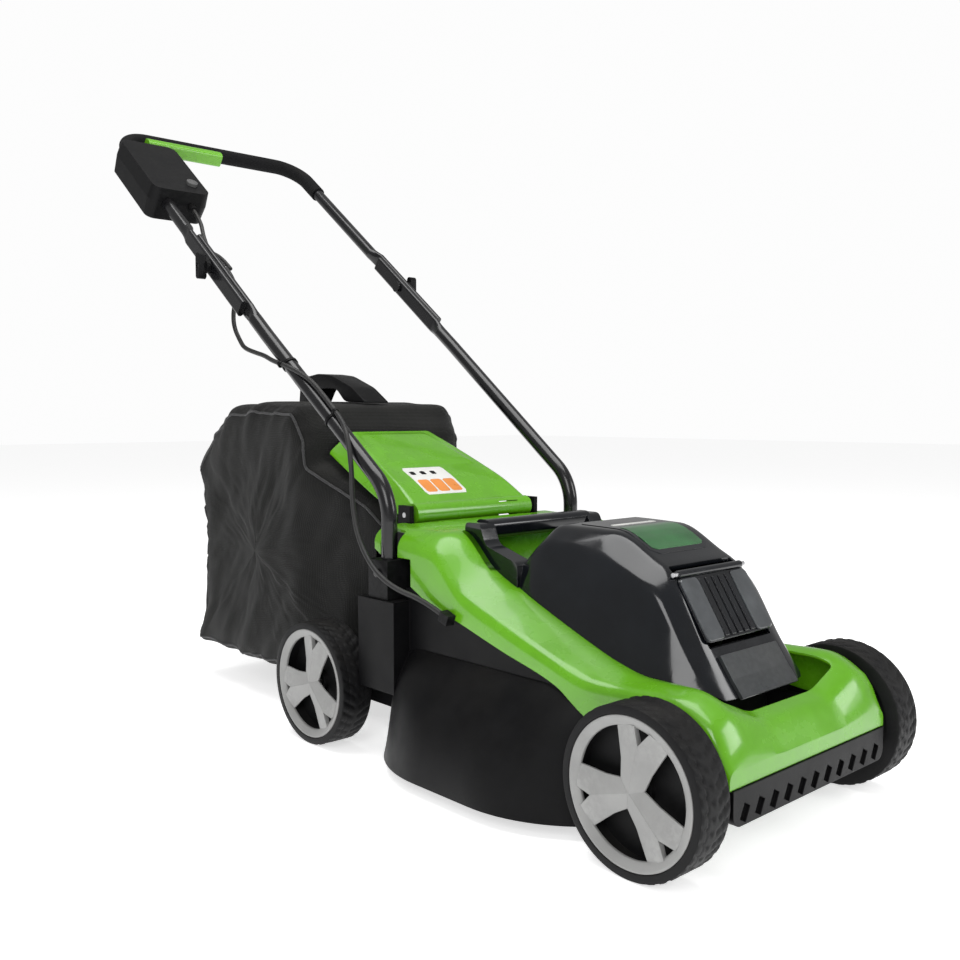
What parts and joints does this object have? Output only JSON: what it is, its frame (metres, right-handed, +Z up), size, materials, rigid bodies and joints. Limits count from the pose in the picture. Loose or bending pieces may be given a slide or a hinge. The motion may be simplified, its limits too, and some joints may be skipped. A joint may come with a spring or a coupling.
{
  "type": "push lawn mower",
  "caption": "Cordless push lawn mower: domed deck with spinning blade, green top cover and rear flap, black motor housing, folding tube handle, spoked wheels and a rear grass bag.",
  "frame": {"origin": "on the ground under the middle of the whole mower with its handle up", "axes": "+Z up, front of the mower towards -Y, the operator's right hand towards -X"},
  "size_m": [0.4446, 1.244, 0.916],
  "materials": {
    "wheel_black": "satin",
    "wheel_grey": "satin",
    "axle_steel": "satin",
    "deck_black": "satin",
    "cover_green": "gloss",
    "housing_black": "gloss",
    "grille_black": "satin",
    "tube_black": "gloss",
    "grip_foam": "matt",
    "box_black": "satin",
    "lever_green": "gloss",
    "knob_black": "satin",
    "button_grey": "satin",
    "bag_fabric": "woven",
    "bag_plastic": "satin",
    "blade_steel": "satin",
    "motor_steel": "satin",
    "winding_copper": "satin",
    "inner_black": "satin",
    "contact_brass": "satin",
    "key_red": "satin",
    "plate_grey": "satin",
    "cable_black": "satin",
    "pack_black": "satin"
  },
  "bodies": {
    "mower": {"deck_housing": "deck_black", "top_cover": "cover_green", "front_grille": "grille_black", "battery_housing": "housing_black", "battery_tray": "inner_black", "battery_terminals": "contact_brass", "battery_pack": "pack_black", "key_socket": "inner_black", "safety_key": "key_red", "lid_pins": "axle_steel", "motor_can": "motor_steel", "motor_stator": "winding_copper", "motor_bearings": "axle_steel", "controller": "motor_steel", "front_axle": "axle_steel", "rear_axle": "axle_steel", "axle_nuts": "axle_steel", "axle_bushes": "inner_black", "lower_tube_right": "tube_black", "lower_tube_left": "tube_black", "handle_brackets": "deck_black", "fold_bolts": "axle_steel", "tube_screws": "axle_steel", "flap_rod": "axle_steel", "flap_spring": "axle_steel", "name_plate": "plate_grey", "cable_lower": "cable_black", "cable_gland_lower": "deck_black", "cable_ties": "knob_black"},
    "rotor": {"rotor_shaft": "axle_steel", "rotor_core": "motor_steel", "blade_holder": "motor_steel", "blade": "blade_steel", "blade_washer": "axle_steel", "blade_nut": "axle_steel"},
    "upper_handle": {"upper_tube": "tube_black", "grip_sleeve": "grip_foam", "switch_box_cover": "box_black", "switch_box_base": "box_black", "bail_pin": "axle_steel", "run_switch": "inner_black", "cable_upper": "cable_black", "cable_gland_upper": "box_black"},
    "bail": {"bail_lever": "lever_green"},
    "start_switch": {"start_button": "button_grey"},
    "knob_right": {"fold_knob_right": "knob_black"},
    "knob_left": {"fold_knob_left": "knob_black"},
    "flap": {"discharge_flap": "cover_green"},
    "lid": {"battery_lid": "housing_black"},
    "bag": {"grass_bag": "bag_fabric", "bag_mouth_frame": "bag_plastic", "bag_handle": "bag_plastic"},
    "wheel_front_right": {"wheel_front_right": "wheel_black", "wheel_cover_front_right": "wheel_grey"},
    "wheel_front_left": {"wheel_front_left": "wheel_black", "wheel_cover_front_left": "wheel_grey"},
    "wheel_rear_right": {"wheel_rear_right": "wheel_black", "wheel_cover_rear_right": "wheel_grey"},
    "wheel_rear_left": {"wheel_rear_left": "wheel_black", "wheel_cover_rear_left": "wheel_grey"}
  },
  "joints": [
    {"name": "front_right_wheel_spin", "type": "hinge", "parent": "mower", "child": "wheel_front_right", "pos_m": [-0.184, -0.54, 0.082], "axis": [1, 0, 0], "continuous": true},
    {"name": "front_left_wheel_spin", "type": "hinge", "parent": "mower", "child": "wheel_front_left", "pos_m": [0.184, -0.54, 0.082], "axis": [1, 0, 0], "continuous": true},
    {"name": "rear_right_wheel_spin", "type": "hinge", "parent": "mower", "child": "wheel_rear_right", "pos_m": [-0.184, -0.009, 0.08], "axis": [1, 0, 0], "continuous": true},
    {"name": "rear_left_wheel_spin", "type": "hinge", "parent": "mower", "child": "wheel_rear_left", "pos_m": [0.184, -0.009, 0.08], "axis": [1, 0, 0], "continuous": true},
    {"name": "blade_spin", "type": "hinge", "parent": "mower", "child": "rotor", "pos_m": [0, -0.3, 0.08], "axis": [0, 0, 1], "continuous": true},
    {"name": "handle_fold", "type": "hinge", "parent": "mower", "child": "upper_handle", "pos_m": [0, 0.279, 0.648], "axis": [1, 0, 0], "range_deg": [0, 165]},
    {"name": "bail_squeeze", "type": "hinge", "parent": "upper_handle", "child": "bail", "pos_m": [-0.145, 0.57875, 0.86194], "axis": [-1, 0, 0], "range_deg": [0, 26], "stiffness_Nm_per_rad": 0.25, "springref_deg": -20.05},
    {"name": "start_press", "type": "slide", "parent": "upper_handle", "child": "start_switch", "axis": [0, 0.6114, -0.7913], "range_m": [0, 0.004], "stiffness_N_per_m": 400, "springref_m": -0.002},
    {"name": "knob_right_turn", "type": "hinge", "parent": "mower", "child": "knob_right", "pos_m": [-0.196, 0.279, 0.648], "axis": [1, 0, 0], "continuous": true},
    {"name": "knob_left_turn", "type": "hinge", "parent": "mower", "child": "knob_left", "pos_m": [0.196, 0.279, 0.648], "axis": [1, 0, 0], "continuous": true},
    {"name": "flap_lift", "type": "hinge", "parent": "mower", "child": "flap", "pos_m": [0, -0.097, 0.3], "axis": [1, 0, 0], "range_deg": [0, 95], "stiffness_Nm_per_rad": 0.3, "springref_deg": -17.19},
    {"name": "lid_open", "type": "hinge", "parent": "mower", "child": "lid", "pos_m": [0, -0.4825, 0.2616], "axis": [-1, 0, 0], "range_deg": [0, 100]},
    {"name": "bag_unhook", "type": "slide", "parent": "mower", "child": "bag", "axis": [0, 1, 0], "range_m": [0, 0.15]}
  ]
}
